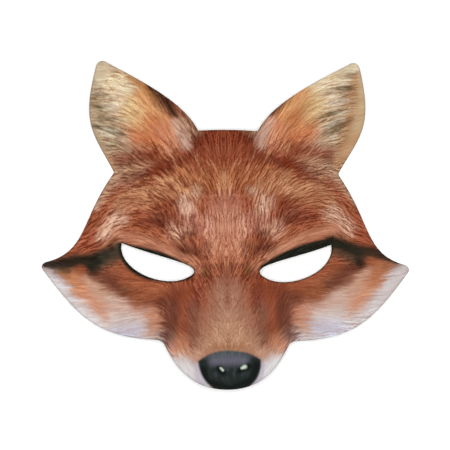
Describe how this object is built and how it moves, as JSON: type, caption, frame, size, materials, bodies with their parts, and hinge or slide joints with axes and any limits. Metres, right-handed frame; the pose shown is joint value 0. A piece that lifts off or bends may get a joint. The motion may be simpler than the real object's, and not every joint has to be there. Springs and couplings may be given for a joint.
{
  "type": "fox half mask",
  "caption": "Die-cut foam half mask moulded into a fox's face, with ears, muzzle and eye holes, faced with printed cloth.",
  "frame": {"origin": "centre of the bounding box in plan, on the surface that the mask lies on", "axes": "+X across the face, +Y from the nose to the ears, +Z out of the printed face"},
  "size_m": [0.2406, 0.2138, 0.0643],
  "materials": {
    "printed_cloth": "fine matt cloth with a colour print of fur, rust brown, cream and black",
    "white_foam": "matt white closed-cell foam"
  },
  "bodies": {
    "root": {"printed_face": "printed_cloth", "foam_shell": "white_foam"}
  },
  "joints": []
}
